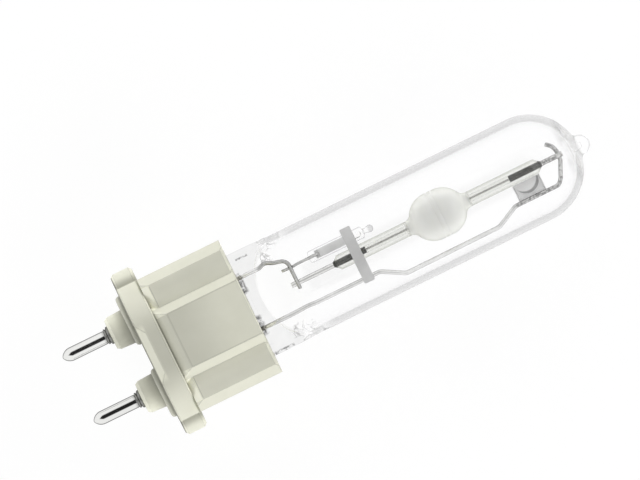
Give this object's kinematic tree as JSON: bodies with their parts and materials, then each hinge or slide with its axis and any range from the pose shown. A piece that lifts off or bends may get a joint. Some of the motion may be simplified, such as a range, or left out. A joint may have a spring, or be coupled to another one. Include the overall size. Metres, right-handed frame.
{
  "type": "metal halide lamp",
  "caption": "Single-ended metal halide lamp: clear tubular bulb with a domed tip, ceramic arc tube on a wire frame, and a flat pinch held in a square ceramic cap with contact pins.",
  "frame": {"origin": "on the lamp's axis, in the plane of the cap's two seating lands, midway between the contact pins", "axes": "+X along the lamp from the pins to the bulb's tip, +Z out of the cap's broad front, +Y across the lamp"},
  "size_m": [0.0966, 0.03, 0.0188],
  "materials": {
    "cap_ceramic": "fired steatite, matt to satin, cream",
    "cement": "matt refractory cement",
    "pin_nickel": "polished nickel plate",
    "quartz": "clear fire-polished quartz glass",
    "arc_ceramic": "translucent sintered alumina",
    "molybdenum": "drawn molybdenum wire",
    "foil": "thin molybdenum foil",
    "niobium": "drawn niobium rod",
    "sealing_glass": "dark fused sealing glass",
    "tungsten": "tungsten wire",
    "strap_steel": "rolled strip, matt",
    "getter_steel": "bright rolled sheet",
    "getter_alloy": "pressed getter alloy, matt"
  },
  "bodies": {
    "root": {"base_body": "cap_ceramic", "base_plate": "cap_ceramic", "base_cement": "cement", "contact_pin_left": "pin_nickel", "contact_pin_right": "pin_nickel", "outer_lead_left": "molybdenum", "outer_lead_right": "molybdenum", "seal_foil_left": "foil", "seal_foil_right": "foil", "outer_bulb": "quartz", "short_lead": "molybdenum", "frame_wire": "molybdenum", "arc_tube": "arc_ceramic", "niobium_rod_lower": "niobium", "niobium_rod_upper": "niobium", "sealing_glass_lower": "sealing_glass", "sealing_glass_upper": "sealing_glass", "molybdenum_rod_lower": "molybdenum", "molybdenum_rod_upper": "molybdenum", "electrode_lower": "tungsten", "electrode_upper": "tungsten", "starter_capsule": "quartz", "starter_foil": "foil", "starter_lead": "molybdenum", "strap": "strap_steel", "getter_sheet": "getter_steel", "getter_pad": "getter_alloy"}
  },
  "joints": []
}
